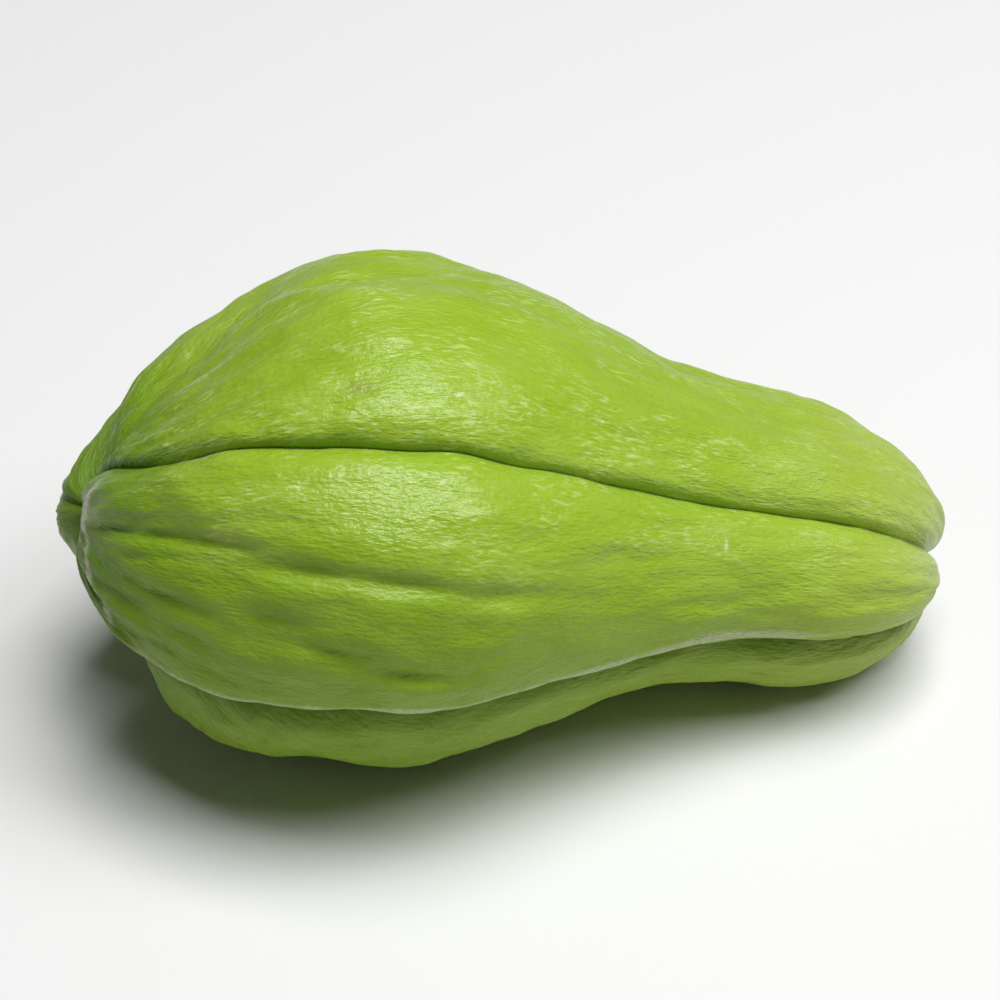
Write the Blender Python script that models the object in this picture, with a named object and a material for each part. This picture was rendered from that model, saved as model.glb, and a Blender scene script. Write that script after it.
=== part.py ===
"""A chayote as picked, lying on its side: one pear-shaped fruit with five deep furrows.

The fruit is shaped about its own axis, X, from the blossom end at station 0 to the stem end at
station LENGTH. Angles round that axis are in degrees: 0 faces the front, -Y, and 90 faces up.
Then it is laid on the surface at Z = 0, on the face that it would settle on.
"""

import math
from collections import namedtuple

import bmesh
import bpy
from mathutils import Vector

# Driving dimensions, in metres. Stations are measured along the axis from the blossom end.
LENGTH = 0.140
BELLY_STATION = 0.0484
BELLY_RADIUS = 0.0400
NECK_STATION = 0.111
NECK_RADIUS = 0.0247

# How blunt each end is: 2 is an ellipse, and more is squarer.
BLOSSOM_BLUNTNESS = 2.05
STEM_BLUNTNESS = 2.27
# The neck narrows by this share between the neck station and the stem end.
STEM_TAPER = 0.134
# Below 1, the shoulder falls away sooner behind the belly.
SHOULDER_FALL = 0.86
# How far the axis drops below a straight line at each end.
BLOSSOM_DROOP = 0.0059
STEM_DROOP = 0.0037
STEM_DROOP_FROM = 0.090

# A furrow is a sharp fold at the bottom of a wider valley, which each furrow has its own width of.
FOLD_WIDTH = 0.0016
FOLD_SHARE = 0.5
# Within this distance of the blossom end, the side furrows bend into the mouth.
TIP_LENGTH = 0.0025
# The stretch of each end over which its lobes differ.
BLOSSOM_REACH_LENGTH = 0.040
STEM_REACH_LENGTH = 0.030

# The skin is pressed flat by this much where it rests.
FLAT_DEPTH = 0.0005

# Mesh: steps across a lobe, rings along the fruit, and how far the steps crowd to the furrows.
LOBE_STEPS = 14
RINGS = 44
CROWDING = 0.5

SKIN_COLOUR = (0.36, 0.50, 0.06, 1.0)
SKIN_ROUGHNESS = 0.42

# Angles at the tip of the blossom end, on its dome, at the belly and at the neck, then depths.
# valley is the width of the valley, and lean carries the bottom of the fold sideways, upwards
# under the lobe above it, or downwards under the one below it where it is under 0.
Furrow = namedtuple("Furrow", "tip dome belly neck dome_depth belly_depth neck_depth valley lean")
FURROWS = (
    Furrow(-90, -90, -90, -90, 0.0090, 0.0060, 0.0040, 0.0060, 0.0),
    Furrow(-70, -37.5, -17.5, -10.8, 0.0050, 0.0060, 0.0040, 0.0060, 0.0028),
    Furrow(100, 59.4, 53.4, 50.2, 0.0050, 0.0044, 0.0038, 0.0030, -0.0012),
    Furrow(148, 148, 138, 130, 0.0090, 0.0052, 0.0040, 0.0050, 0.0),
    Furrow(205, 205, 205, 205, 0.0050, 0.0052, 0.0040, 0.0060, 0.0),
)

# Each lobe lies between the furrow of the same place in the list and the next one.
# swell lifts its crest as a share of the radius, and the tapers lower it by a share at each end.
# The reaches push its ends out along the axis.
Lobe = namedtuple("Lobe", "name swell blossom_taper stem_taper blossom_reach stem_reach")
LOBES = (
    Lobe("under_front", 0.005, -0.21, 0.0, -0.0091, 0.0010),
    Lobe("front", 0.073, 0.124, 0.0, 0.0003, 0.0006),
    Lobe("upper", -0.040, 0.276, 0.026, -0.0022, 0.0019),
    Lobe("back", 0.02, 0.265, 0.08, 0.0031, 0.0),
    Lobe("under_back", 0.02, 0.039, 0.0, 0.0046, -0.0010),
)


def ease(share):
    """Smooth step from 0 to 1, held at both ends."""
    share = min(max(share, 0.0), 1.0)
    return share * share * (3 - 2 * share)


def dome(away, bluntness):
    """Height of a rounded end, 1 where it begins and 0 at its tip."""
    return max(1 - away**bluntness, 0.0) ** (1 / bluntness)


def girth(station):
    """Radius of the fruit at a station, before its furrows are cut."""
    if station < BELLY_STATION:
        return BELLY_RADIUS * dome(1 - station / BELLY_STATION, BLOSSOM_BLUNTNESS)
    if station < NECK_STATION:
        along = (station - BELLY_STATION) / (NECK_STATION - BELLY_STATION)
        fall = (1 + math.cos(math.pi * along**SHOULDER_FALL)) / 2
        return NECK_RADIUS + (BELLY_RADIUS - NECK_RADIUS) * fall
    away = (station - NECK_STATION) / (LENGTH - NECK_STATION)
    return NECK_RADIUS * (1 - STEM_TAPER * away) * dome(away, STEM_BLUNTNESS)


def station_of(height):
    """Station of a ring of the unit sphere, whose height runs from 1 to -1."""
    return LENGTH * (1 - height) / 2


def outline_normal(latitude):
    """Outward direction of the outline, as its parts along and away from the axis."""
    step = 0.01
    before = station_of(math.cos(max(latitude - step, 0.0)))
    after = station_of(math.cos(min(latitude + step, math.pi)))
    run, rise = after - before, girth(after) - girth(before)
    size = math.hypot(run, rise)
    return -rise / size, run / size


def between(dome_value, belly_value, neck_value, station):
    """A value that eases from the blossom end's to the belly's, and on to the neck's."""
    if station < BELLY_STATION:
        return belly_value + (dome_value - belly_value) * ease(1 - station / BELLY_STATION)
    share = (station - BELLY_STATION) / (NECK_STATION - BELLY_STATION)
    return belly_value + (neck_value - belly_value) * ease(share)


def furrow_angle(number, station):
    """Angle of a furrow at a station, counted on past a full turn for the last lobe."""
    turns, place = divmod(number, len(FURROWS))
    furrow = FURROWS[place]
    angle = between(furrow.dome, furrow.belly, furrow.neck, station)
    return angle + (furrow.tip - furrow.dome) * math.exp(-station / TIP_LENGTH) + 360 * turns


def groove(distance, valley_width):
    """Depth of a furrow's section, 1 at its bottom."""
    fold = math.exp(-distance / FOLD_WIDTH)
    valley = math.exp(-distance / valley_width)
    return FOLD_SHARE * fold + (1 - FOLD_SHARE) * valley


def furrow_cut(station, radius, angle):
    """Depth cut into the skin at an angle, and how far the cut leans sideways."""
    depth, lean = 0.0, 0.0
    for number, furrow in enumerate(FURROWS):
        turn = math.radians(angle - furrow_angle(number, station))
        turn = abs(math.remainder(turn, math.tau))
        distance = radius * (math.sin(turn) if turn < math.pi / 2 else 1.0)
        share = groove(distance, furrow.valley)
        full = between(furrow.dome_depth, furrow.belly_depth, furrow.neck_depth, station)
        depth = max(depth, full * share)
        lean += furrow.lean * share**1.5
    return depth, lean


def axis_drop(station):
    """How far the fruit's axis lies below a straight line."""
    blossom = max(1 - station / BELLY_STATION, 0.0)
    stem = max(station - STEM_DROOP_FROM, 0.0) / (LENGTH - STEM_DROOP_FROM)
    return BLOSSOM_DROOP * blossom**2 + STEM_DROOP * stem**2


def skin_point(latitude, turn):
    """Point of the skin for a point of the sphere; turn counts lobes from the first furrow."""
    station = station_of(math.cos(latitude))
    number = int(turn) % len(LOBES)
    lobe = LOBES[number]
    across = turn - int(turn)
    crowded = across - CROWDING * math.sin(math.tau * across) / math.tau
    start = furrow_angle(number, station)
    angle = start + (furrow_angle(number + 1, station) - start) * crowded
    radius = girth(station)
    depth, lean = furrow_cut(station, radius, angle)
    along, outward = outline_normal(latitude)
    crest = math.sin(math.pi * crowded)
    blossom = ease(1 - station / BLOSSOM_REACH_LENGTH)
    stem = ease((station - LENGTH) / STEM_REACH_LENGTH + 1)
    swell = lobe.swell - lobe.blossom_taper * blossom - lobe.stem_taper * stem
    height = radius * (1 + swell * crest) - depth * outward
    height = max(height, 0.0)
    x = station - depth * along
    x += (lobe.stem_reach * stem - lobe.blossom_reach * blossom) * crest
    around = math.radians(angle) + lean / BELLY_RADIUS
    y = -height * math.cos(around)
    z = height * math.sin(around) - axis_drop(station)
    return Vector((x, y, z))


def make_fruit():
    """The fruit about its own axis, made by moving the points of a sphere."""
    steps = LOBE_STEPS * len(LOBES)
    fruit = bmesh.new()
    bmesh.ops.create_uvsphere(fruit, u_segments=steps, v_segments=RINGS, radius=1.0)
    for vert in fruit.verts:
        latitude = math.acos(min(max(vert.co.z, -1.0), 1.0))
        turn = math.atan2(vert.co.y, vert.co.x) / math.tau * len(LOBES)
        turn = round(turn * LOBE_STEPS) / LOBE_STEPS % len(LOBES)
        vert.co = skin_point(latitude, turn)
    return fruit


def middle_of_mass(fruit):
    """Centre of the volume inside a closed mesh, which is made triangles."""
    bmesh.ops.triangulate(fruit, faces=fruit.faces)
    total, moment = 0.0, Vector((0, 0, 0))
    for face in fruit.faces:
        a, b, c = (vert.co for vert in face.verts)
        volume = a.dot(b.cross(c)) / 6
        total += volume
        moment += volume * (a + b + c) / 4
    return moment / total


def carries(face, middle):
    """Whether the middle stands over a face when that face lies on a level surface."""
    sides = ((loop.vert.co, loop.link_loop_next.vert.co) for loop in face.loops)
    return all((end - start).cross(middle - start).dot(face.normal) > 0 for start, end in sides)


def resting_face_normal(fruit, middle):
    """Normal of the face of the convex hull that the fruit would settle on."""
    hull = bmesh.new()
    for vert in fruit.verts:
        hull.verts.new(vert.co)
    bmesh.ops.convex_hull(hull, input=hull.verts)
    bmesh.ops.recalc_face_normals(hull, faces=hull.faces)
    normals = [face.normal.copy() for face in hull.faces if carries(face, middle)]
    hull.free()
    return min(normals, key=lambda normal: normal.z)


def lay_down(fruit):
    """Turns the fruit onto its resting face, centres it there and flattens what it rests on."""
    solid = fruit.copy()
    middle = middle_of_mass(solid)
    solid.free()
    turn = resting_face_normal(fruit, middle).rotation_difference(Vector((0, 0, -1)))
    bmesh.ops.rotate(fruit, verts=fruit.verts, cent=(0, 0, 0), matrix=turn.to_matrix())
    low, high = (Vector(pick(vert.co[i] for vert in fruit.verts) for i in range(3)) for pick in (min, max))
    centre = (low + high) / 2
    shift = Vector((-centre.x, -centre.y, -low.z - FLAT_DEPTH))
    bmesh.ops.translate(fruit, verts=fruit.verts, vec=shift)
    for vert in fruit.verts:
        vert.co.z = max(vert.co.z, 0.0)


def skin_material():
    """Waxy light green skin."""
    material = bpy.data.materials.new("chayote_skin")
    material.use_nodes = True
    shader = material.node_tree.nodes["Principled BSDF"]
    shader.inputs["Base Color"].default_value = SKIN_COLOUR
    shader.inputs["Roughness"].default_value = SKIN_ROUGHNESS
    shader.inputs["Metallic"].default_value = 0.0
    return material


def main():
    for leftover in list(bpy.data.objects):
        bpy.data.objects.remove(leftover)
    fruit = make_fruit()
    lay_down(fruit)
    mesh = bpy.data.meshes.new("chayote")
    fruit.to_mesh(mesh)
    fruit.free()
    mesh.materials.append(skin_material())
    mesh.shade_smooth()
    holder = bpy.data.collections.new("chayote")
    bpy.context.scene.collection.children.link(holder)
    holder.objects.link(bpy.data.objects.new("chayote", mesh))


main()
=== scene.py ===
"""Looks of a chayote as picked: one pear-shaped fruit with five deep furrows, lying on its side.

The fruit is shaped about its own axis, X, from the blossom end at station 0 to the stem end. Angles
round that axis are in degrees: 0 faces the front, -Y, and 90 faces up. Lengths are in metres.
"""

import logging
import math
from dataclasses import dataclass
from enum import Enum
from functools import reduce
from typing import Union

import bmesh
import bpy
import numpy as np
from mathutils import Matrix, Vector, noise


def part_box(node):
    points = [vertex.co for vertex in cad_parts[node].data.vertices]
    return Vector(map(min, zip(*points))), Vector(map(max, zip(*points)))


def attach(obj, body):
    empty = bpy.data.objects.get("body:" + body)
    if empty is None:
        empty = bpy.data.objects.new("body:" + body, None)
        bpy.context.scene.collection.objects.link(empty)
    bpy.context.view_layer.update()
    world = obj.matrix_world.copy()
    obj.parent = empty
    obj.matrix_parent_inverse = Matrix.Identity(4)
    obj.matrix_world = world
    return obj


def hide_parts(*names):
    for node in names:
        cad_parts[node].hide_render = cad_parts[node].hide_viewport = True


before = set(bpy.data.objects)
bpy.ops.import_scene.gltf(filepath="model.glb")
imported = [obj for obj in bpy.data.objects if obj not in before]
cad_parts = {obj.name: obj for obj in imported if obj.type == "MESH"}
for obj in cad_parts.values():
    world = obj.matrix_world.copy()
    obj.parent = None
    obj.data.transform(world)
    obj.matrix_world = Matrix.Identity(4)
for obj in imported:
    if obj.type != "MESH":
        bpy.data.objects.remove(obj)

NODE = "chayote"
BODY = "root"
MILLIMETRE = 0.001

Colour = tuple[float, float, float]
Socket = bpy.types.NodeSocket
Feed = Union[Socket, Colour, float]

log = logging.getLogger("chayote")


def ease(share: np.ndarray) -> np.ndarray:
    """Smooth step from 0 to 1, held at both ends."""
    share = np.clip(share, 0.0, 1.0)
    return share * share * (3 - 2 * share)


def dome(away: np.ndarray, bluntness: float) -> np.ndarray:
    """Height of a rounded end, 1 where it begins and 0 at its tip."""
    return np.maximum(1 - np.clip(away, 0.0, 1.0) ** bluntness, 0.0) ** (1 / bluntness)


def half_turn(degrees: np.ndarray) -> np.ndarray:
    """Degrees as radians, brought to between minus and plus half a turn."""
    return (np.radians(degrees) + math.pi) % math.tau - math.pi


def direction(azimuth: float, elevation: float) -> Vector:
    """Unit vector from the fruit towards a place round it.

    Args:
        azimuth: Degrees round the vertical, with 0 at the front and 90 at the stem end.
        elevation: Degrees above the horizon.

    Returns:
        The direction to that place.
    """
    around, up = math.radians(azimuth), math.radians(elevation)
    return Vector((math.sin(around) * math.cos(up), -math.cos(around) * math.cos(up), math.sin(up)))


def look_from(thing: bpy.types.Object, towards: Vector, distance: float, aim: Vector) -> None:
    """Sets a light or a camera where it looks back at a point.

    Args:
        thing: The light or camera.
        towards: Direction to it from the point.
        distance: How far from the point it stands.
        aim: The point.
    """
    thing.location = aim + towards * distance
    thing.rotation_euler = towards.to_track_quat("Z", "Y").to_euler()


def put(name: str, data: bpy.types.ID) -> bpy.types.Object:
    """Puts a mesh, a light or a camera in the scene.

    Args:
        name: Name of the new object.
        data: What the object shows.

    Returns:
        The new object.
    """
    placed = bpy.data.objects.new(name, data)
    bpy.context.scene.collection.objects.link(placed)
    return placed


def new_material(name: str) -> tuple[bpy.types.Material, bpy.types.Node]:
    """A material with nodes.

    Args:
        name: Name of the new material.

    Returns:
        The material and its Principled shader.
    """
    material = bpy.data.materials.new(name)
    material.use_nodes = True
    return material, material.node_tree.nodes["Principled BSDF"]


@dataclass(frozen=True)
class Furrow:
    """A lengthwise furrow.

    The angles are at the tip of the blossom end, on its dome, at the belly and at the neck. The
    depths are at the last three. valley is its width, and lean carries the bottom of the fold
    sideways, upwards under the lobe above it, or downwards where it is under 0. shade is how
    strongly shade is painted into the skin towards its bottom.
    """

    tip: float
    dome: float
    belly: float
    neck: float
    dome_depth: float
    belly_depth: float
    neck_depth: float
    valley: float
    lean: float
    shade: float = 0.8


@dataclass(frozen=True)
class Lobe:
    """The lobe between one furrow and the next.

    swell lifts its crest as a share of the radius, and the tapers lower it at each end. The
    reaches push its ends out along the axis.
    """

    swell: float
    blossom_taper: float
    stem_taper: float
    blossom_reach: float
    stem_reach: float


@dataclass(frozen=True)
class Wrinkles:
    """Soft ridges along the fruit.

    blossom_gain is how much higher they are at the blossom end, and seed is where their pattern
    starts.
    """

    length: float
    width: float
    height: float
    blossom_gain: float
    seed: float


@dataclass(frozen=True)
class Oval:
    """A soft oval on the skin: its middle, its size and its slant from the fruit's length."""

    station: float
    angle: float
    length: float
    width: float
    slant: float = 0.0


@dataclass(frozen=True)
class Dent:
    """A shallow dent in the skin, or a low swelling where its depth is below 0."""

    oval: Oval
    depth: float


class BlemishAndSheen(Enum):
    """Kinds of surface mark, each named for the attribute that holds it: the skin's blemishes,
    and a pale sheen painted as a reflection.
    """

    SCUFF = "scuff"
    SCAR = "scar"
    BLOOM = "bloom"
    DRY = "dry"


@dataclass(frozen=True)
class Mark:
    """One blemish, or one patch of painted sheen, and how strong it is."""

    kind: BlemishAndSheen
    oval: Oval
    strength: float = 1.0


FURROWS = (
    Furrow(-90, -90, -90, -90, 0.0090, 0.0060, 0.0040, 0.0060, 0.0),
    Furrow(-70, -37.5, -17.0, -11.0, 0.0060, 0.0080, 0.0058, 0.0050, 0.0052, 1.0),
    Furrow(100, 56.8, 51.2, 46.0, 0.0048, 0.0042, 0.0036, 0.0044, 0.0008, 0.25),
    Furrow(148, 148, 138, 130, 0.0090, 0.0052, 0.0040, 0.0050, 0.0),
    Furrow(205, 205, 205, 205, 0.0003, 0.0052, 0.0040, 0.0060, 0.0),
)

# Each lobe lies between the furrow of the same place in the list and the next one: under the
# front, front, upper, back, and under the back.
LOBES = (
    Lobe(0.005, -0.21, 0.0, -0.0091, 0.0022),
    Lobe(0.073, 0.124, 0.0, 0.0003, 0.0009),
    Lobe(-0.040, 0.276, 0.026, -0.0031, 0.0019),
    Lobe(0.02, 0.330, 0.08, 0.0, 0.0),
    Lobe(0.02, 0.090, 0.0, 0.0020, -0.0010),
)

WRINKLES = (
    Wrinkles(0.020, 0.0090, 0.0008, 0.4, 3.0),
    Wrinkles(0.0085, 0.0036, 0.0005, 0.6, 11.0),
    Wrinkles(0.0036, 0.0017, 0.00022, 0.4, 23.0),
)

DENTS = (
    # Long dents and one ridge on the front lobe.
    Dent(Oval(0.0100, 29.5, 0.022, 0.0022), 0.0011),
    Dent(Oval(0.0185, 29.5, 0.013, 0.0024), 0.0009),
    Dent(Oval(0.0134, 10.4, 0.013, 0.0034), 0.0015),
    Dent(Oval(0.0245, 12.7, 0.013, 0.0028), 0.0012),
    Dent(Oval(0.0300, 25.0, 0.018, 0.0028), 0.0016),
    Dent(Oval(0.0440, 24.4, 0.016, 0.0026), 0.0013),
    Dent(Oval(0.0560, 23.0, 0.014, 0.0028), 0.0011),
    Dent(Oval(0.0330, 8.5, 0.018, 0.0030), 0.0013),
    Dent(Oval(0.0445, 5.0, 0.018, 0.0028), 0.0011),
    Dent(Oval(0.0090, 24.0, 0.012, 0.0040), -0.0005),
    # Broad dents and a swelling that bend the outline.
    Dent(Oval(0.0430, 110.0, 0.034, 0.018), 0.0020),
    Dent(Oval(0.0165, 123.0, 0.026, 0.016), 0.0024),
    Dent(Oval(0.0710, 111.0, 0.032, 0.018), -0.0011),
    Dent(Oval(0.1150, 96.0, 0.028, 0.020), 0.0014),
    Dent(Oval(0.0950, -49.0, 0.034, 0.018), 0.0018),
    # A crease across the lobe under the front.
    Dent(Oval(0.0289, -33.0, 0.0070, 0.0018, 90.0), 0.0007),
    # Low ridges on the upper lobe.
    Dent(Oval(0.0260, 110.0, 0.030, 0.0034, -39.0), -0.0006),
    Dent(Oval(0.0400, 95.0, 0.018, 0.0030, -15.0), -0.0004),
    Dent(Oval(0.0150, 94.5, 0.022, 0.0034, -3.0), -0.0006),
)

MARKS = (
    Mark(BlemishAndSheen.SCUFF, Oval(0.0358, 66.0, 0.0070, 0.0036)),
    Mark(BlemishAndSheen.SCUFF, Oval(0.0725, 43.0, 0.0010, 0.0010)),
    Mark(BlemishAndSheen.SCUFF, Oval(0.0060, 46.0, 0.0012, 0.0012)),
    Mark(BlemishAndSheen.SCUFF, Oval(0.0265, 34.0, 0.0030, 0.0012)),
    Mark(BlemishAndSheen.SCAR, Oval(0.0497, 64.4, 0.0032, 0.0007, 20.0)),
    Mark(BlemishAndSheen.SCAR, Oval(0.0942, 34.6, 0.0006, 0.0026)),
    # Painted reflection on the rim of the front lobe at the blossom end.
    Mark(BlemishAndSheen.BLOOM, Oval(0.0019, 52.0, 0.0070, 0.0018, 40.0), 1.4),
    Mark(BlemishAndSheen.BLOOM, Oval(0.0013, 38.5, 0.0036, 0.0022, 90.0), 1.4),
    Mark(BlemishAndSheen.BLOOM, Oval(0.0013, 22.0, 0.0080, 0.0022, -45.0), 1.4),
    Mark(BlemishAndSheen.BLOOM, Oval(0.0026, -3.0, 0.0100, 0.0018, -50.0), 1.4),
    Mark(BlemishAndSheen.BLOOM, Oval(0.0050, -17.0, 0.0080, 0.0016, -37.0), 1.4),
    # Painted sheen along the upper lobe's ridges.
    Mark(BlemishAndSheen.BLOOM, Oval(0.0260, 110.0, 0.034, 0.0016, -39.0), 0.75),
    Mark(BlemishAndSheen.BLOOM, Oval(0.0400, 95.0, 0.022, 0.0014, -15.0), 0.70),
    Mark(BlemishAndSheen.BLOOM, Oval(0.0150, 94.5, 0.024, 0.0018, -3.0), 0.75),
    # Dry scars at the stem end and the blossom end.
    Mark(BlemishAndSheen.DRY, Oval(0.1400, 0.0, 0.0090, 0.0090)),
    Mark(BlemishAndSheen.DRY, Oval(0.0, 0.0, 0.0080, 0.0080)),
)


class Operation(Enum):
    """What a Math node does with its two values."""

    ADD = "ADD"
    SUBTRACT = "SUBTRACT"
    MULTIPLY = "MULTIPLY"


@dataclass(frozen=True)
class Step:
    """A smooth step from 0: the values at which it starts and ends, and what it rises to."""

    start: float
    end: float
    top: float = 1.0


@dataclass(frozen=True)
class Grain:
    """Noise drawn out along the fruit: the size of a grain along and across, and its octaves."""

    length: float
    width: float
    detail: float = 2.0


class NodeDesk:
    """Makes and joins the nodes of one material."""

    def __init__(self, tree: bpy.types.NodeTree) -> None:
        """Keeps the tree that the nodes go in."""
        self.tree = tree

    def link(self, source: Socket, target: Socket) -> None:
        """Joins two sockets."""
        self.tree.links.new(source, target)

    def feed(self, socket: Socket, value: Feed) -> None:
        """Links an input, or sets it.

        Args:
            socket: The input.
            value: A socket to link it to, or a colour, vector or number to set it to.
        """
        if isinstance(value, Socket):
            self.link(value, socket)
        elif isinstance(value, tuple):
            socket.default_value = (*value, 1.0) if socket.type == "RGBA" else value
        else:
            socket.default_value = value

    def node(self, kind: str, **values: Feed) -> bpy.types.Node:
        """A node with some of its inputs set.

        Args:
            kind: Blender's name for the type of node.
            values: Input values, by socket name.

        Returns:
            The new node.
        """
        made = self.tree.nodes.new(kind)
        for name, value in values.items():
            self.feed(made.inputs[name], value)
        return made

    def attribute(self, name: str) -> bpy.types.Node:
        """A node that reads an attribute of the mesh.

        Args:
            name: The attribute's name.

        Returns:
            The node, which has a socket for a vector and one for a number.
        """
        made = self.node("ShaderNodeAttribute")
        made.attribute_name = name
        return made

    def amount(self, name: str) -> Socket:
        """An attribute that holds a number."""
        return self.attribute(name).outputs["Fac"]

    def part(self, vector: Socket, axis: str) -> Socket:
        """One coordinate of a vector."""
        return self.node("ShaderNodeSeparateXYZ", Vector=vector).outputs[axis]

    def maths(self, operation: Operation, first: Feed, second: Feed) -> Socket:
        """Works out one value from two.

        Args:
            operation: What is done with them.
            first: The first value.
            second: The second value.

        Returns:
            The result's socket.
        """
        made = self.node("ShaderNodeMath")
        made.operation = operation.value
        self.feed(made.inputs[0], first)
        self.feed(made.inputs[1], second)
        return made.outputs[0]

    def add(self, first: Feed, second: Feed) -> Socket:
        """The sum of two values."""
        return self.maths(Operation.ADD, first, second)

    def subtract(self, first: Feed, second: Feed) -> Socket:
        """The first value less the second."""
        return self.maths(Operation.SUBTRACT, first, second)

    def multiply(self, first: Feed, second: Feed) -> Socket:
        """The product of two values."""
        return self.maths(Operation.MULTIPLY, first, second)

    def ramp(self, value: Socket, step: Step) -> Socket:
        """Turns a value into a smooth step.

        Args:
            value: What is measured.
            step: Where the step starts and ends, and what it rises to.

        Returns:
            The step's socket.
        """
        made = self.node("ShaderNodeMapRange", Value=value)
        made.interpolation_type = "SMOOTHSTEP"
        made.inputs["From Min"].default_value = step.start
        made.inputs["From Max"].default_value = step.end
        made.inputs["To Max"].default_value = step.top
        return made.outputs["Result"]

    def blend(self, share: Socket, first: Feed, second: Feed) -> Socket:
        """Passes from one colour to another.

        Args:
            share: How far it has passed, from 0 to 1.
            first: The colour at 0.
            second: The colour at 1.

        Returns:
            The blended colour's socket.
        """
        made = self.node("ShaderNodeMix")
        made.data_type = "RGBA"
        factor, start, end = (made.inputs[place] for place in (0, 6, 7))
        self.feed(factor, share)
        self.feed(start, first)
        self.feed(end, second)
        return made.outputs[2]

    def noise(self, place: Socket, grain: Grain) -> Socket:
        """Noise whose grains are drawn out along the fruit.

        Args:
            place: Coordinates, with the fruit's length first.
            grain: Size of its grains.

        Returns:
            The noise's value, around a half.
        """
        scale = (1 / grain.length, 1 / grain.width, 1 / grain.width)
        drawn_out = self.node("ShaderNodeMapping", Vector=place, Scale=scale).outputs["Vector"]
        made = self.node("ShaderNodeTexNoise", Vector=drawn_out, Scale=1.0, Detail=grain.detail)
        return made.outputs[0]


@dataclass(frozen=True)
class Paint:
    """How one kind of mark, a blemish or the painted sheen, is coloured, and how strongly."""

    kind: BlemishAndSheen
    colour: Colour
    strength: float


@dataclass(frozen=True)
class Relief:
    """One layer of relief that is too fine for the mesh, with its height in millimetres."""

    grain: Grain
    height: float


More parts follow.
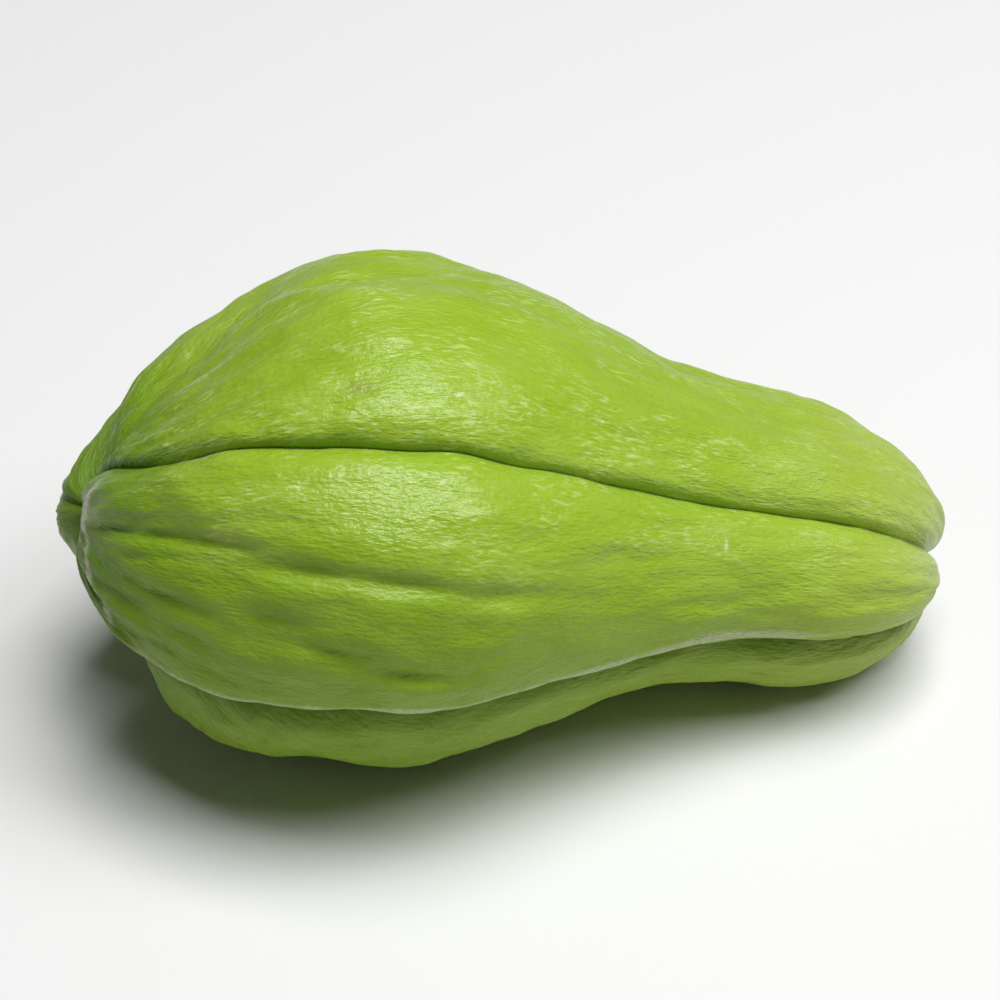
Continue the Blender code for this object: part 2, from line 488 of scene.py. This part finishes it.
@dataclass(frozen=True)
class SkinFinish:
    """Waxy light green skin: its colours, gloss and finest relief.

    The colour passes from the blossom end's to the belly's at belly_step and on to the neck's at
    neck_step, both in metres of skin from the blossom end; the blossom end's colour is darker
    partly for its greener tone and partly as painted shade. The underside begins at under_step, in
    metres above the axis. Shade is painted onto it in the underside_shade colour, most towards
    the blossom end, by underside_shade_step, and everywhere by underside_shade_least, and its
    shine drops by under_dullness. Painted highlight flecks lie in clusters on the upper side, and
    a share of them, stray_glints, everywhere. A blemish, or the painted sheen, shows from
    mark_from of its strength and is full at mark_full.
    """

    name: str = "waxy_skin"
    # The blossom end's colour is darker partly for its greener tone and partly as painted shade.
    blossom: Colour = (0.13, 0.26, 0.012)
    belly: Colour = (0.270, 0.420, 0.022)
    neck: Colour = (0.375, 0.500, 0.070)
    belly_step: Step = Step(0.010, 0.041)
    neck_step: Step = Step(0.110, 0.17)
    under_step: Step = Step(0.025, 0.010)
    # Colour of the shade painted onto the underside.
    underside_shade: Colour = (0.120, 0.230, 0.005)
    underside_shade_step: Step = Step(0.14, 0.05, 0.36)
    underside_shade_least: float = 0.10
    cloud: Colour = (0.42, 0.56, 0.11)
    clouds: Grain = Grain(0.012, 0.006, 3.0)
    cloud_step: Step = Step(0.35, 0.75, 0.20)
    # Painted highlight flecks, clustered on the upper side.
    painted_glint: Colour = (0.56, 0.68, 0.27)
    glints: Grain = Grain(0.0020, 0.0005)
    glint_step: Step = Step(0.48, 0.72, 0.50)
    glint_clusters: Grain = Grain(0.011, 0.0055)
    glint_cluster_step: Step = Step(0.44, 0.62)
    stray_glints: float = 0.10
    # Colour of the shade painted into the folds.
    crease_shade_colour: Colour = (0.09, 0.17, 0.012)
    crease_shade_step: Step = Step(0.25, 1.0, 0.75)
    speckle: Grain = Grain(0.0008, 0.0005)
    mark_from: float = 0.12
    mark_full: float = 0.6
    paints: tuple[Paint, ...] = (
        Paint(BlemishAndSheen.SCUFF, (0.26, 0.26, 0.075), 0.55),
        Paint(BlemishAndSheen.SCAR, (0.58, 0.66, 0.36), 0.8),
        # The pale sheen is a painted reflection.
        Paint(BlemishAndSheen.BLOOM, (0.56, 0.60, 0.42), 0.85),
        Paint(BlemishAndSheen.DRY, (0.30, 0.27, 0.11), 1.0),
    )
    roughness: float = 0.27
    rough_patches: Grain = Grain(0.006, 0.002, 3.0)
    rough_step: Step = Step(0.3, 0.7, 0.06)
    shine: float = 0.5
    under_dullness: float = 0.27
    refraction: float = 1.40
    reliefs: tuple[Relief, ...] = (
        Relief(Grain(0.0016, 0.00045), 0.24),
        Relief(Grain(0.0034, 0.0015), 0.20),
        Relief(Grain(0.0008, 0.0008), 0.12),
    )

    def build(self) -> bpy.types.Material:
        """Makes the skin's material.

        Returns:
            A material that reads the flow attribute of the fruit's mesh, its fold attribute of
            painted crease shade, and its attributes of blemishes and painted sheen.
        """
        material, shader = new_material(self.name)
        desk = NodeDesk(material.node_tree)
        flow = desk.attribute("flow").outputs["Vector"]
        under = desk.ramp(desk.part(flow, "Z"), self.under_step)
        desk.link(self.skin_colour(desk, flow, under), shader.inputs["Base Color"])
        desk.link(self.gloss(desk, flow), shader.inputs["Roughness"])
        dullness = desk.multiply(under, self.under_dullness)
        desk.link(desk.subtract(self.shine, dullness), shader.inputs["Specular IOR Level"])
        height = self.relief(desk, flow)
        bump = desk.node("ShaderNodeBump", Distance=MILLIMETRE, Height=height)
        desk.link(bump.outputs["Normal"], shader.inputs["Normal"])
        shader.inputs["IOR"].default_value = self.refraction
        return material

    def skin_colour(self, desk: NodeDesk, flow: Socket, under: Socket) -> Socket:
        """Colour of the skin, from its greens to the painted shade on the underside and in the
        folds, the painted highlight flecks, and the blemishes and painted sheen over them.

        Args:
            desk: Where the nodes are made.
            flow: Place on the skin along the fruit's length and round it.
            under: How far round the underside a place is, from 0 on top to 1.

        Returns:
            The colour's socket.
        """
        along = desk.part(flow, "X")
        # Darker at the blossom end, partly its greener tone and partly painted shade.
        colour = desk.blend(desk.ramp(along, self.belly_step), self.blossom, self.belly)
        colour = desk.blend(desk.ramp(along, self.neck_step), colour, self.neck)
        # Painted shade on the underside, strongest towards the blossom end.
        underside_shade_share = desk.add(desk.ramp(along, self.underside_shade_step), self.underside_shade_least)
        colour = desk.blend(desk.multiply(under, underside_shade_share), colour, self.underside_shade)
        clouds = desk.ramp(desk.noise(flow, self.clouds), self.cloud_step)
        colour = desk.blend(clouds, colour, self.cloud)
        # Painted highlight flecks, clustered on the upper side.
        colour = desk.blend(self.painted_glint_share(desk, flow, under), colour, self.painted_glint)
        # Painted shade in the furrows' folds.
        colour = desk.blend(desk.ramp(desk.amount("fold"), self.crease_shade_step), colour, self.crease_shade_colour)
        speckle = desk.noise(flow, self.speckle)
        # Scuffs, scars and dry scars are the skin's own marks; the pale sheen is painted
        # reflection.
        for paint in self.paints:
            mask = desk.multiply(desk.amount(paint.kind.value), speckle)
            share = desk.ramp(mask, Step(self.mark_from, self.mark_full, paint.strength))
            colour = desk.blend(share, colour, paint.colour)
        return colour

    def painted_glint_share(self, desk: NodeDesk, flow: Socket, under: Socket) -> Socket:
        """How much of the painted highlight flecks' colour shows.

        Args:
            desk: Where the nodes are made.
            flow: Place on the skin along the fruit's length and round it.
            under: How far round the underside a place is, from 0 on top to 1.

        Returns:
            The socket of a share that is 0 between the flecks.
        """
        glints = desk.ramp(desk.noise(flow, self.glints), self.glint_step)
        glint_clusters = desk.ramp(desk.noise(flow, self.glint_clusters), self.glint_cluster_step)
        glint_clusters = desk.multiply(glint_clusters, desk.subtract(1.0, under))
        return desk.multiply(glints, desk.add(glint_clusters, self.stray_glints))

    def gloss(self, desk: NodeDesk, flow: Socket) -> Socket:
        """Roughness, which varies in patches along the skin."""
        patches = desk.ramp(desk.noise(flow, self.rough_patches), self.rough_step)
        return desk.add(patches, self.roughness)

    def relief(self, desk: NodeDesk, flow: Socket) -> Socket:
        """Height of the fine wrinkles and the pebbled wax.

        Args:
            desk: Where the nodes are made.
            flow: Place on the skin along the fruit's length and round it.

        Returns:
            The socket of a height in millimetres.
        """
        heights = [
            desk.multiply(desk.noise(flow, layer.grain), layer.height) for layer in self.reliefs
        ]
        return reduce(desk.add, heights)


@dataclass(frozen=True)
class Outline:
    """The pear shape about the fruit's axis, before its furrows are cut.

    A bluntness of 2 makes an end an ellipse, and more makes it squarer. The neck narrows by
    stem_taper of its radius from the neck station to the stem end. Below 1, shoulder_fall makes
    the shoulder fall away sooner behind the belly. The droops are how far the axis drops below a
    straight line at each end.
    """

    length: float = 0.140
    belly_station: float = 0.0484
    belly_radius: float = 0.0400
    neck_station: float = 0.111
    neck_radius: float = 0.0247
    blossom_bluntness: float = 2.05
    stem_bluntness: float = 2.27
    stem_taper: float = 0.134
    shoulder_fall: float = 0.86
    blossom_droop: float = 0.0059
    stem_droop: float = 0.0037
    stem_droop_from: float = 0.090
    latitude_step: float = 0.01
    path_points: int = 600

    def station_of(self, latitude: np.ndarray) -> np.ndarray:
        """Station of a ring of the sphere that the fruit is shaped from."""
        return self.length * (1 - np.cos(latitude)) / 2

    def neck_share(self, station: np.ndarray) -> np.ndarray:
        """How far each station is from the belly to the neck, as a share."""
        return (station - self.belly_station) / (self.neck_station - self.belly_station)

    def girth(self, station: np.ndarray) -> np.ndarray:
        """Works out the radius of the fruit.

        Args:
            station: Distances along the axis.

        Returns:
            The radius at each.
        """
        ahead = 1 - station / self.belly_station
        blossom = self.belly_radius * dome(ahead, self.blossom_bluntness)
        along = np.clip(self.neck_share(station), 0, 1)
        fall = (1 + np.cos(np.pi * along**self.shoulder_fall)) / 2
        shoulder = self.neck_radius + (self.belly_radius - self.neck_radius) * fall
        away = (station - self.neck_station) / (self.length - self.neck_station)
        stem = self.neck_radius * (1 - self.stem_taper * away) * dome(away, self.stem_bluntness)
        after_belly = np.where(station < self.neck_station, shoulder, stem)
        return np.where(station < self.belly_station, blossom, after_belly)

    def normal(self, latitude: np.ndarray) -> tuple[np.ndarray, np.ndarray]:
        """Works out which way the outline faces.

        Args:
            latitude: Angles of the sphere's rings from its first pole.

        Returns:
            The parts of the outward direction along the axis and away from it.
        """
        before = self.station_of(np.maximum(latitude - self.latitude_step, 0.0))
        after = self.station_of(np.minimum(latitude + self.latitude_step, math.pi))
        run, rise = after - before, self.girth(after) - self.girth(before)
        size = np.hypot(run, rise)
        return -rise / size, run / size

    def between(
        self, at_blossom: float, at_belly: float, at_neck: float, station: np.ndarray
    ) -> np.ndarray:
        """Eases a value from the blossom end's to the belly's, and on to the neck's.

        Args:
            at_blossom: The value at the blossom end.
            at_belly: The value at the belly.
            at_neck: The value from the neck on.
            station: Distances along the axis.

        Returns:
            The value at each.
        """
        blossom = at_belly + (at_blossom - at_belly) * ease(1 - station / self.belly_station)
        stem = at_belly + (at_neck - at_belly) * ease(self.neck_share(station))
        return np.where(station < self.belly_station, blossom, stem)

    def axis_drop(self, station: np.ndarray) -> np.ndarray:
        """Works out how far the fruit's axis lies below a straight line.

        Args:
            station: Distances along the axis.

        Returns:
            The drop at each.
        """
        blossom = np.maximum(1 - station / self.belly_station, 0.0)
        past = np.maximum(station - self.stem_droop_from, 0.0)
        stem = past / (self.length - self.stem_droop_from)
        return self.blossom_droop * blossom**2 + self.stem_droop * stem**2

    def path_length(self, station: np.ndarray | float) -> np.ndarray:
        """Measures along the skin from the blossom end.

        Args:
            station: Distances along the axis.

        Returns:
            The distance along the skin to each.
        """
        stations = self.station_of(np.linspace(0, math.pi, self.path_points))
        pieces = np.hypot(np.diff(stations), np.diff(self.girth(stations)))
        return np.interp(station, stations, np.concatenate([[0.0], np.cumsum(pieces)]))


@dataclass(frozen=True)
class Places:
    """Where the skin's points are, with one value of each kind for each point.

    latitude is the angle from the sphere's first pole, and path the distance along the skin from
    the blossom end. lobe is the lobe's number, and across how far over the lobe the point lies,
    from 0 to 1.
    """

    latitude: np.ndarray
    station: np.ndarray
    path: np.ndarray
    radius: np.ndarray
    angle: np.ndarray
    lobe: np.ndarray
    across: np.ndarray


@dataclass(frozen=True)
class Cut:
    """What the furrows do to the skin, with one value of each kind for each point.

    depth is how deep they cut, lean how far they carry the skin sideways, and fold how near the
    point is to the bottom of a furrow, from 0 to 1, scaled by the furrow's shade and reaching wider
    below it, for the shade painted into the skin there.
    """

    depth: np.ndarray
    lean: np.ndarray
    fold: np.ndarray


@dataclass(frozen=True)
class PaintedReflectionBand:
    """A pale band of painted reflection above a furrow, given by the furrow's place in the list.

    middle is how far above the furrow it lies. Along the fruit it starts at one station, rises to
    its strength over a length, and falls again over another before the station where it ends.
    """

    furrow: int = 1
    middle: float = 0.0054
    width: float = 0.0019
    strength: float = 0.9
    start: float = 0.004
    rise: float = 0.012
    end: float = 0.125
    fall: float = 0.02


@dataclass(frozen=True)
class Fruit:
    """The whole fruit: its outline, furrows and lobes, and the relief of its skin.

    A furrow is a sharp fold at the bottom of a wider valley, and fold_share is the fold's part of
    its depth. It strays to each side by up to about wander degrees, in bends of wander_length, and
    near the tip of the blossom end it bends into the mouth over tip_length. The lobes' ends differ
    over the two reach lengths, and far_reach pushes the far side of the blossom end out, except
    near its tip, within far_reach_radius. The wrinkles' gain at the blossom end fades out over
    wrinkled_length, and they all fade where the radius is under wrinkled_radius. flow_radius
    scales the patterns round the fruit, crowding draws the steps across a lobe towards its
    furrows, and underside is the direction that faces down once the fruit is laid down.
    """

    name: str = "chayote_fruit"
    outline: Outline = Outline()
    finish: SkinFinish = SkinFinish()
    band: PaintedReflectionBand = PaintedReflectionBand()
    fold_width: float = 0.0012
    fold_share: float = 0.5
    lean_power: float = 1.5
    wander: float = 1.1
    wander_length: float = 0.011
    tip_length: float = 0.0025
    blossom_reach_length: float = 0.040
    stem_reach_length: float = 0.030
    far_reach: float = 0.0020
    far_reach_radius: float = 0.010
    wrinkled_length: float = 0.08
    wrinkled_radius: float = 0.02
    flow_radius: float = 0.035
    underside: tuple[float, float, float] = (0.2240, -0.0163, -0.9745)
    flat_depth: float = 0.0005
    lobe_steps: int = 80
    rings: int = 214
    crowding: float = 0.35

    def build(self) -> bpy.types.Object:
        """Moves the points of a sphere to the fruit's skin, where the solid fruit lies.

        Returns:
            The finished object, at the origin, with its place in its mesh.
        """
        fruit = bmesh.new()
        steps = self.lobe_steps * len(LOBES)
        bmesh.ops.create_uvsphere(fruit, u_segments=steps, v_segments=self.rings, radius=1.0)
        places = self.places(np.array([vert.co for vert in fruit.verts]))
        cut = self.furrow_cut(places)
        flow = self.flow(places)
        for vert, point in zip(fruit.verts, self.lay_down(self.points(places, cut, flow))):
            vert.co = point
        mesh = bpy.data.meshes.new(self.name)
        fruit.to_mesh(mesh)
        fruit.free()
        mesh.shade_smooth()
        directions = mesh.attributes.new("flow", "FLOAT_VECTOR", "POINT")
        directions.data.foreach_set("vector", flow.astype(np.float32).ravel())
        for name, values in {"fold": cut.fold, **self.marks(places)}.items():
            layer = mesh.attributes.new(name, "FLOAT", "POINT")
            layer.data.foreach_set("value", values.astype(np.float32))
        mesh.materials.append(self.finish.build())
        return put(self.name, mesh)

    def places(self, ball: np.ndarray) -> Places:
        """Finds where on the fruit each point of the sphere belongs.

        Args:
            ball: The points of a sphere of radius 1, with its poles at the ends of Z.

        Returns:
            Their places on the fruit.
        """
        latitude = np.arccos(np.clip(ball[:, 2], -1.0, 1.0))
        steps = self.lobe_steps * len(LOBES)
        step = np.round(np.arctan2(ball[:, 1], ball[:, 0]) / math.tau * steps) % steps
        turn = step / self.lobe_steps
        lobe = turn.astype(int) % len(LOBES)
        across = turn - turn.astype(int)
        across = across - self.crowding * np.sin(math.tau * across) / math.tau
        station = self.outline.station_of(latitude)
        starts = np.array([self.furrow_angle(i, station) for i in range(len(LOBES) + 1)])
        column = np.arange(len(turn))
        angle = starts[lobe, column] * (1 - across) + starts[lobe + 1, column] * across
        path, radius = self.outline.path_length(station), self.outline.girth(station)
        return Places(latitude, station, path, radius, angle, lobe, across)

    def furrow_angle(self, number: int, station: np.ndarray) -> np.ndarray:
        """Works out where a furrow runs.

        Args:
            number: The furrow's place in the list, which goes round again past its end.
            station: Distances along the axis.

        Returns:
            The furrow's angle at each, counted on past a full turn where the list goes round.
        """
        turns, place = divmod(number, len(FURROWS))
        furrow = FURROWS[place]
        angle = self.outline.between(furrow.dome, furrow.belly, furrow.neck, station)
        rings, ring = np.unique(station, return_inverse=True)
        waves = [noise.noise(Vector((at / self.wander_length, place, 0.0))) for at in rings]
        angle = angle + self.wander * np.array(waves)[ring]
        bend = (furrow.tip - furrow.dome) * np.exp(-station / self.tip_length)
        return angle + bend + 360 * turns

    def furrow_cut(self, places: Places) -> Cut:
        """Works out what the furrows do to the skin.

        Args:
            places: Where the skin's points are.

        Returns:
            The depth, lean and fold, which is painted crease shade, at each.
        """
        depth, lean, crease_shade = (np.zeros_like(places.station) for _ in range(3))
        for number, furrow in enumerate(FURROWS):
            turn = half_turn(places.angle - self.furrow_angle(number, places.station))
            below, turn = turn < 0, np.abs(turn)
            distance = places.radius * np.where(turn < math.pi / 2, np.sin(turn), 1.0)
            fold, valley = np.exp(-distance / self.fold_width), np.exp(-distance / furrow.valley)
            share = self.fold_share * fold + (1 - self.fold_share) * valley
            depths = furrow.dome_depth, furrow.belly_depth, furrow.neck_depth
            depth = np.maximum(depth, self.outline.between(*depths, places.station) * share)
            lean += furrow.lean * share**self.lean_power
            # Shade is painted into the skin towards each furrow's bottom, reaching wider on the
            # side below it.
            crease_shade = np.maximum(crease_shade, np.where(below, valley, share) * furrow.shade)
        return Cut(depth, lean, crease_shade)

    def flow(self, places: Places) -> np.ndarray:
        """Works out coordinates that follow the skin, for its patterns.

        Args:
            places: Where the skin's points are.

        Returns:
            A row for each point: its distance along the skin, then two numbers for its angle.
        """
        around = np.radians(places.angle)
        sides = self.flow_radius * np.cos(around), self.flow_radius * np.sin(around)
        return np.stack([places.path, *sides], 1)

    def points(self, places: Places, cut: Cut, flow: np.ndarray) -> np.ndarray:
        """Shapes the skin.

        Args:
            places: Where the skin's points are.
            cut: What the furrows do to them.
            flow: Coordinates that follow the skin.

        Returns:
            The points about the fruit's own axis.
        """
        station = places.station
        dents = sum(self.spot(dent.oval, places) * dent.depth for dent in DENTS)
        depth = cut.depth + (dents - self.wrinkle_height(flow, places.radius))
        along, outward = self.outline.normal(places.latitude)
        crest = np.sin(math.pi * places.across)
        blossom = ease(1 - station / self.blossom_reach_length)
        stem = ease((station - self.outline.length) / self.stem_reach_length + 1)
        swell = self.of_lobes("swell", places) - self.of_lobes("blossom_taper", places) * blossom
        swell -= self.of_lobes("stem_taper", places) * stem
        height = np.maximum(places.radius * (1 + swell * crest) - depth * outward, 0.0)
        reach = self.of_lobes("stem_reach", places) * stem
        reach = (reach - self.of_lobes("blossom_reach", places) * blossom) * crest
        far = ((1 - np.cos(np.radians(places.angle))) / 2) ** 2
        reach -= self.far_reach * far * blossom * ease(places.radius / self.far_reach_radius)
        around = np.radians(places.angle) + cut.lean / self.outline.belly_radius
        y = -height * np.cos(around)
        z = height * np.sin(around) - self.outline.axis_drop(station)
        return np.stack([station - depth * along + reach, y, z], 1)

    def of_lobes(self, size: str, places: Places) -> np.ndarray:
        """One of the lobes' sizes, for each point's own lobe."""
        return np.array([getattr(lobe, size) for lobe in LOBES])[places.lobe]

    def wrinkle_height(self, flow: np.ndarray, radius: np.ndarray) -> np.ndarray:
        """Works out the soft ridges, which fade where the skin closes at the ends.

        Args:
            flow: Coordinates that follow the skin.
            radius: The fruit's radius at the same points.

        Returns:
            Their height at each point.
        """
        height = np.zeros(len(flow))
        near_blossom = 1 - ease(flow[:, 0] / self.wrinkled_length)
        for ridges in WRINKLES:
            grains = flow / np.array([ridges.length, ridges.width, ridges.width]) + ridges.seed
            waves = np.array([noise.noise(Vector(grain)) for grain in grains])
            height += ridges.height * waves * (1 + ridges.blossom_gain * near_blossom)
        return height * ease(radius / self.wrinkled_radius)

    def spot(self, oval: Oval, places: Places) -> np.ndarray:
        """Works out a soft oval on the skin.

        Args:
            oval: Its middle, size and slant.
            places: Where the skin's points are.

        Returns:
            1 at the middle of the oval, fading to 0 past its edge.
        """
        along = places.path - self.outline.path_length(oval.station)
        across = half_turn(places.angle - oval.angle) * places.radius
        slant = math.radians(oval.slant)
        lengthwise = along * math.cos(slant) + across * math.sin(slant)
        sideways = across * math.cos(slant) - along * math.sin(slant)
        return np.exp(-((2 * lengthwise / oval.length) ** 2) - (2 * sideways / oval.width) ** 2)

    def marks(self, places: Places) -> dict[str, np.ndarray]:
        """Works out where the blemishes and the painted sheen are.

        Args:
            places: Where the skin's points are.

        Returns:
            For each kind of blemish and for the painted sheen, by its attribute's name, how strong
            it is at each point.
        """
        layers = {}
        for kind in BlemishAndSheen:
            marks = [mark for mark in MARKS if mark.kind is kind]
            spots = [self.spot(mark.oval, places) * mark.strength for mark in marks]
            layers[kind.value] = np.max(spots, 0)
        # The band of painted reflection above a furrow joins the painted sheen.
        bloom = BlemishAndSheen.BLOOM.value
        layers[bloom] = np.maximum(layers[bloom], self.painted_reflection_band(places))
        return layers

    def painted_reflection_band(self, places: Places) -> np.ndarray:
        """Works out the band of painted reflection above a furrow.

        Args:
            places: Where the skin's points are.

        Returns:
            How strong it is at each point.
        """
        band, station = self.band, places.station
        turn = np.radians(places.angle - self.furrow_angle(band.furrow, station))
        share = np.exp(-(((turn * places.radius - band.middle) / band.width) ** 2))
        rise = ease((station - band.start) / band.rise)
        return band.strength * share * rise * ease((band.end - station) / band.fall)

    def lay_down(self, points: np.ndarray) -> np.ndarray:
        """Turns the fruit onto its underside and sets it where the solid fruit rests.

        Args:
            points: The skin about the fruit's own axis.

        Returns:
            The skin in place, flattened where it rests.
        """
        turn = Vector(self.underside).rotation_difference(Vector((0, 0, -1))).to_matrix()
        laid = points @ np.array(turn).T
        low, high = (np.array(corner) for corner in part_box(NODE))
        middle = (laid.min(0) + laid.max(0)) / 2
        shift = (low + high) / 2 - middle
        shift[0] = high[0] - laid[:, 0].max()
        shift[2] = low[2] - laid[:, 2].min() - self.flat_depth
        laid += shift
        laid[:, 2] = np.maximum(laid[:, 2], low[2])
        return laid


@dataclass(frozen=True)
class SoftLight:
    """A square soft light that faces the fruit: its direction, distance, side and brightness."""

    name: str
    azimuth: float
    elevation: float
    distance: float
    side: float
    radiance: float


@dataclass(frozen=True)
class Studio:
    """Pale floor, soft lights and the camera, whose aim is given from the fruit's middle."""

    floor_size: float = 12.0
    floor_colour: Colour = (0.78, 0.78, 0.78)
    floor_roughness: float = 0.9
    fill: float = 0.06
    soft_lights: tuple[SoftLight, ...] = (
        SoftLight("overhead", 50.0, 82.0, 1.3, 0.62, 12.9),
        SoftLight("side", 72.0, 56.0, 1.3, 0.5, 7.4),
    )
    camera_azimuth: float = -9.03
    camera_elevation: float = 40.61
    camera_distance: float = 0.430
    camera_aim: tuple[float, float, float] = (-0.0017, 0.0007, -0.0016)
    lens: float = 100.0
    nearest_seen: float = 0.01

    def build(self) -> None:
        """Makes everything round the fruit."""
        self.make_floor()
        self.make_world()
        for light in self.soft_lights:
            self.make_light(light)
        self.make_camera()
        bpy.context.scene.view_settings.view_transform = "Standard"

    def make_floor(self) -> None:
        """Lays a wide matt floor at the height that the fruit rests on."""
        ground = bmesh.new()
        bmesh.ops.create_grid(ground, x_segments=1, y_segments=1, size=self.floor_size / 2)
        mesh = bpy.data.meshes.new("floor")
        ground.to_mesh(mesh)
        ground.free()
        material, shader = new_material("matt_floor")
        shader.inputs["Base Color"].default_value = (*self.floor_colour, 1.0)
        shader.inputs["Roughness"].default_value = self.floor_roughness
        mesh.materials.append(material)
        put("floor", mesh)

    def make_world(self) -> None:
        """Fills the scene with even white light from all round."""
        world = bpy.data.worlds.new("studio")
        world.use_nodes = True
        background = world.node_tree.nodes["Background"]
        background.inputs["Color"].default_value = (1.0, 1.0, 1.0, 1.0)
        background.inputs["Strength"].default_value = self.fill
        bpy.context.scene.world = world

    def make_light(self, soft: SoftLight) -> None:
        """Hangs one soft light.

        Args:
            soft: Its direction, distance, side and brightness.
        """
        light = bpy.data.lights.new(soft.name, "AREA")
        light.shape = "SQUARE"
        light.size = soft.side
        light.energy = soft.radiance * math.pi * soft.side**2
        towards = direction(soft.azimuth, soft.elevation)
        look_from(put(soft.name, light), towards, soft.distance, Vector((0, 0, 0)))

    def make_camera(self) -> None:
        """Sets the camera, which looks down at the fruit from the front."""
        low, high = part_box(NODE)
        aim = (low + high) / 2 + Vector(self.camera_aim)
        lens = bpy.data.cameras.new("camera")
        lens.lens = self.lens
        lens.clip_start = self.nearest_seen
        camera = put("camera", lens)
        towards = direction(self.camera_azimuth, self.camera_elevation)
        look_from(camera, towards, self.camera_distance, aim)
        bpy.context.scene.camera = camera


def main() -> None:
    """Builds the fruit and the studio, and logs the fruit's faces and the body it rides on."""
    logging.basicConfig(level=logging.INFO, format="%(name)s: %(message)s")
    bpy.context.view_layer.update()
    piece = Fruit().build()
    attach(piece, BODY)
    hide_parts(NODE)
    log.info("%s: %d faces, rides on %s", piece.name, len(piece.data.polygons), BODY)
    Studio().build()


if __name__ == "__main__":
    main()
